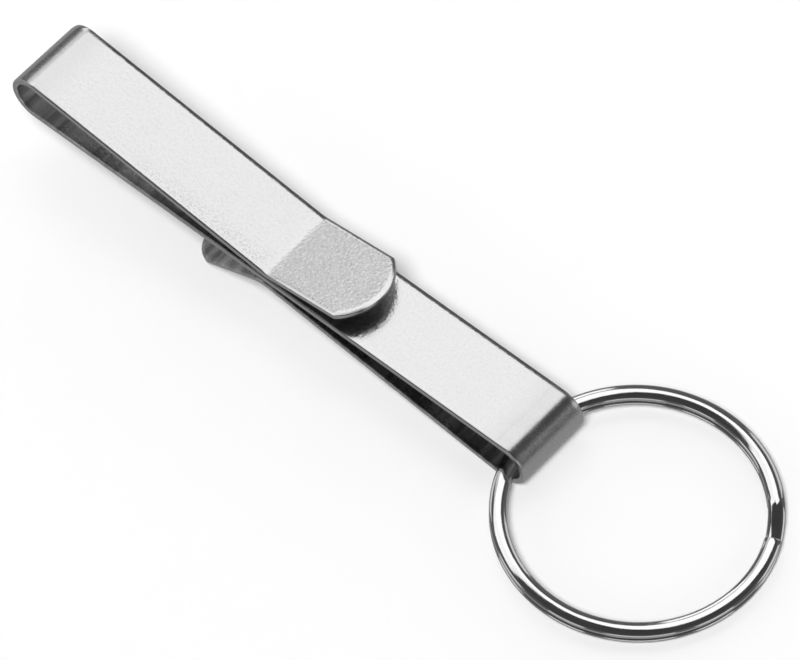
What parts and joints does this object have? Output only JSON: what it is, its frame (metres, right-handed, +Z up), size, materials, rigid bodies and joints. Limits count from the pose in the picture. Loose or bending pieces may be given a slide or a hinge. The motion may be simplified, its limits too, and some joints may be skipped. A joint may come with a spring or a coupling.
{
  "type": "belt key clip",
  "caption": "Flat spring-steel strip folded into an S: one leaf clips over a belt, the other keeps a split key ring in its fold.",
  "frame": {"origin": "under the middle of the bounding box, on the surface the clip lies on", "axes": "+X along the strip from the belt fold to the key ring, +Y across the strip, +Z up, away from the surface and out of the tongue's face"},
  "size_m": [0.0964, 0.03, 0.012],
  "materials": {
    "spring_steel": "satin",
    "nickel_plate": "polished nickel"
  },
  "bodies": {
    "clip": {"middle_leaf": "spring_steel"},
    "tongue": {"belt_tongue": "spring_steel"},
    "keeper": {"rear_leaf": "spring_steel"},
    "ring": {"split_ring": "nickel_plate"}
  },
  "joints": [
    {"name": "tongue_flex", "type": "hinge", "parent": "clip", "child": "tongue", "pos_m": [-0.04693, 0, 0.00922], "axis": [0, -1, 0], "range_deg": [0, 9], "stiffness_Nm_per_rad": 3},
    {"name": "keeper_flex", "type": "hinge", "parent": "clip", "child": "keeper", "pos_m": [0.02106, 0, 0.00271], "axis": [0, -1, 0], "range_deg": [0, 8], "stiffness_Nm_per_rad": 3},
    {"name": "ring_swing", "type": "hinge", "parent": "clip", "child": "ring", "pos_m": [0.01953, 0, 0.00275], "axis": [0, -1, 0], "range_deg": [-165, 150]}
  ]
}
